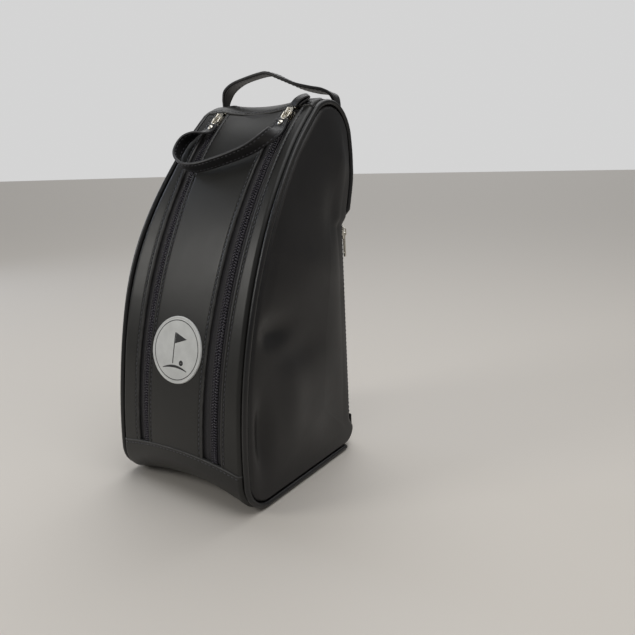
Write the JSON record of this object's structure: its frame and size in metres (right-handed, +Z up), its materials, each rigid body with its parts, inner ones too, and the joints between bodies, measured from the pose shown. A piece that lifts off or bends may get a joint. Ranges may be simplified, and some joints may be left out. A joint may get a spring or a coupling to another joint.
{
  "type": "golf shoe bag",
  "caption": "Tall, sloping-front shoe bag in smooth leather-look material with long front zips, a carry handle, a zip pull strap, a back pocket zip and piped sides.",
  "frame": {"origin": "middle of the flat base, on the floor", "axes": "+Z up along the bag's height, +Y to its flat back, +X to its right side"},
  "size_m": [0.1598, 0.178, 0.3722],
  "materials": {
    "panel_leather": "satin smooth coated leather",
    "side_leather": "satin smooth coated leather",
    "piping_leather": "satin",
    "strap_leather": "satin, edge painted",
    "lining_fabric": "woven",
    "zip_tape": "woven polyester",
    "zip_coil": "nylon coil",
    "zip_metal": "nickel plated",
    "stiffener_board": "matte",
    "badge_patch": "smooth, printed"
  },
  "bodies": {
    "shell": {"base_panel": "panel_leather", "front_center_panel": "panel_leather", "front_strip_left": "panel_leather", "front_strip_right": "panel_leather", "ridge_hem": "panel_leather", "back_panel": "panel_leather", "side_panel_left": "side_leather", "side_panel_right": "side_leather", "piping_left": "piping_leather", "piping_right": "piping_leather", "front_lining": "lining_fabric", "base_lining": "lining_fabric", "back_lining": "lining_fabric", "side_lining_left": "lining_fabric", "side_lining_right": "lining_fabric", "base_board": "stiffener_board", "zip_tape_left": "zip_tape", "zip_tape_right": "zip_tape", "zip_chain_left": "zip_coil", "zip_chain_right": "zip_coil", "zip_bottom_stops": "zip_metal", "zip_top_stops": "zip_metal", "handle_tab_left": "strap_leather", "handle_tab_right": "strap_leather", "back_zip_tape": "zip_tape", "back_zip_chain": "zip_coil", "back_zip_stops": "zip_metal", "badge": "badge_patch"},
    "slider_left": {"slider_left": "zip_metal"},
    "slider_right": {"slider_right": "zip_metal"},
    "pull_strap": {"pull_strap": "strap_leather", "pull_ring_left": "zip_metal", "pull_ring_right": "zip_metal", "strap_rivets": "zip_metal"},
    "carry_handle": {"carry_handle": "strap_leather"},
    "back_zip_slider": {"back_zip_slider": "zip_metal"},
    "back_zip_pull": {"back_zip_pull": "zip_metal"}
  },
  "joints": [
    {"name": "front_zip_left", "type": "hinge", "parent": "shell", "child": "slider_left", "pos_m": [0, 0.337, 0.0335], "axis": [1, 0, 0], "range_deg": [0, 39.4], "deforming": ["zip_tape_left", "zip_chain_left"]},
    {"name": "front_zip_right", "type": "hinge", "parent": "shell", "child": "slider_right", "pos_m": [0, 0.337, 0.0335], "axis": [1, 0, 0], "range_deg": [0, 39.4], "deforming": ["zip_tape_right", "zip_chain_right"]},
    {"name": "pull_strap_swing", "type": "hinge", "parent": "slider_left", "child": "pull_strap", "pos_m": [0, 0.03128, 0.33289], "axis": [-1, 0, 0], "range_deg": [0, 120]},
    {"name": "carry_handle_fold", "type": "hinge", "parent": "shell", "child": "carry_handle", "pos_m": [0, 0.066, 0.352], "axis": [1, 0, 0], "range_deg": [-65, 60]},
    {"name": "back_zip_slide", "type": "slide", "parent": "shell", "child": "back_zip_slider", "axis": [0.0349, 0, -0.9994], "range_m": [0, 0.16], "deforming": ["back_zip_tape", "back_zip_chain"]},
    {"name": "back_zip_pull_swing", "type": "hinge", "parent": "back_zip_slider", "child": "back_zip_pull", "pos_m": [0.06741, 0.08415, 0.2217], "axis": [0.7067, -0.7071, 0.0247], "range_deg": [0, 150]}
  ],
  "couplings": [
    {"joint": "front_zip_right", "follows": "front_zip_left", "ratio": 1}
  ]
}
